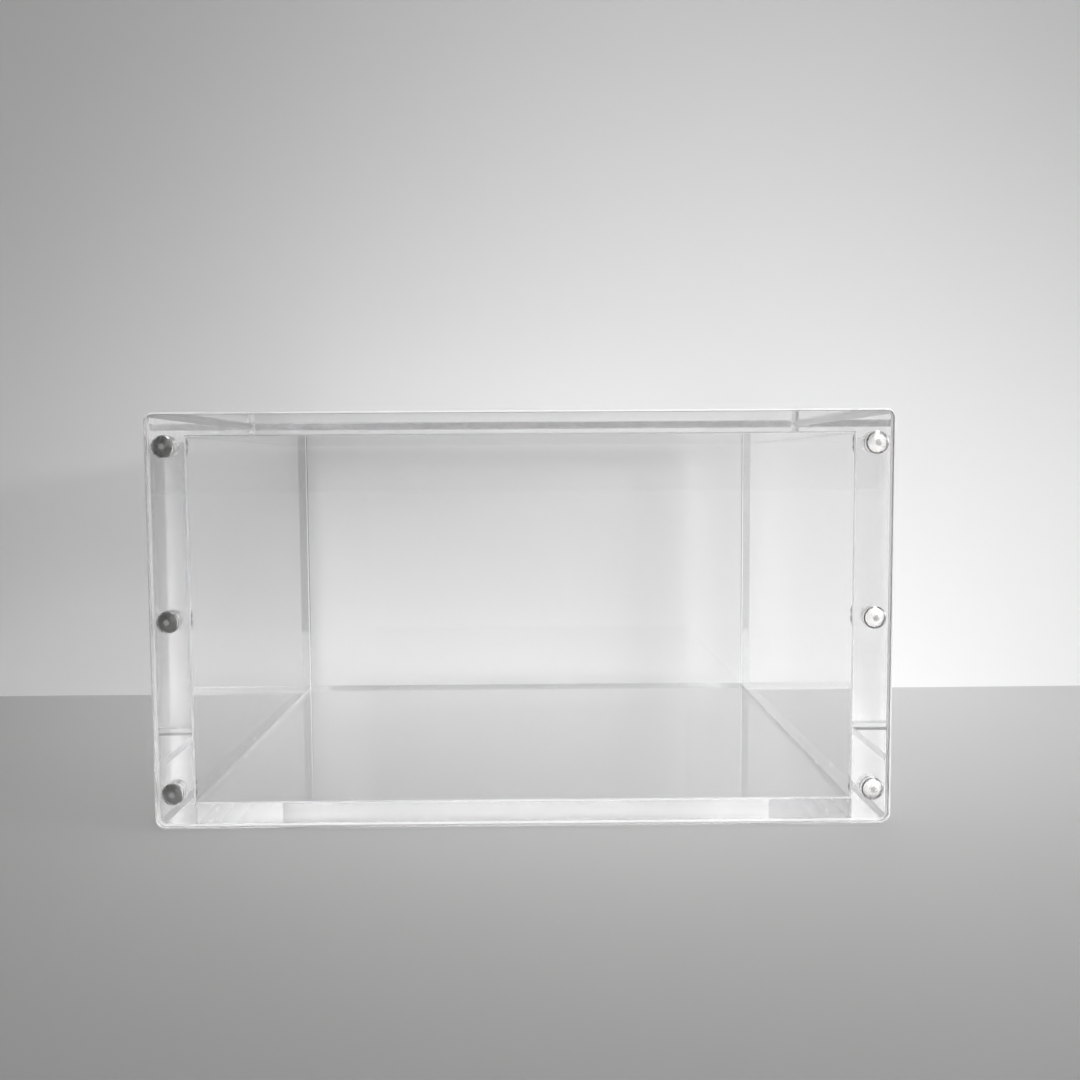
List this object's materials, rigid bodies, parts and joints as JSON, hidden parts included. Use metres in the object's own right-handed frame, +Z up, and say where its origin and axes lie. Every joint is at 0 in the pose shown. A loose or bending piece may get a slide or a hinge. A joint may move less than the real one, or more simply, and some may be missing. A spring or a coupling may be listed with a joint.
{
  "type": "trading card box case",
  "caption": "Clear acrylic display case for a sealed box of trading cards, with thick welded walls, an open front and a flat lid held on by magnets.",
  "frame": {"origin": "middle of the closed case's footprint, on the surface it stands on", "axes": "+X along the width to the right as seen from the front, +Y from the front lid to the back, +Z up"},
  "size_m": [0.158, 0.1352, 0.089],
  "materials": {
    "clear_acrylic": "clear cast acrylic with polished faces and edges",
    "nickel": "nickel plated, lightly brushed on the faces"
  },
  "bodies": {
    "case": {"left_wall": "clear_acrylic", "right_wall": "clear_acrylic", "top_panel": "clear_acrylic", "bottom_panel": "clear_acrylic", "back_panel": "clear_acrylic", "wall_magnet_left_bottom": "nickel", "wall_magnet_left_middle": "nickel", "wall_magnet_left_top": "nickel", "wall_magnet_right_bottom": "nickel", "wall_magnet_right_middle": "nickel", "wall_magnet_right_top": "nickel"},
    "lid": {"front_lid": "clear_acrylic", "lid_magnet_left_bottom": "nickel", "lid_magnet_left_middle": "nickel", "lid_magnet_left_top": "nickel", "lid_magnet_right_bottom": "nickel", "lid_magnet_right_middle": "nickel", "lid_magnet_right_top": "nickel"}
  },
  "joints": [
    {"name": "lid_pull", "type": "slide", "parent": "case", "child": "lid", "axis": [0, -1, 0], "range_m": [0, 0.15]}
  ]
}
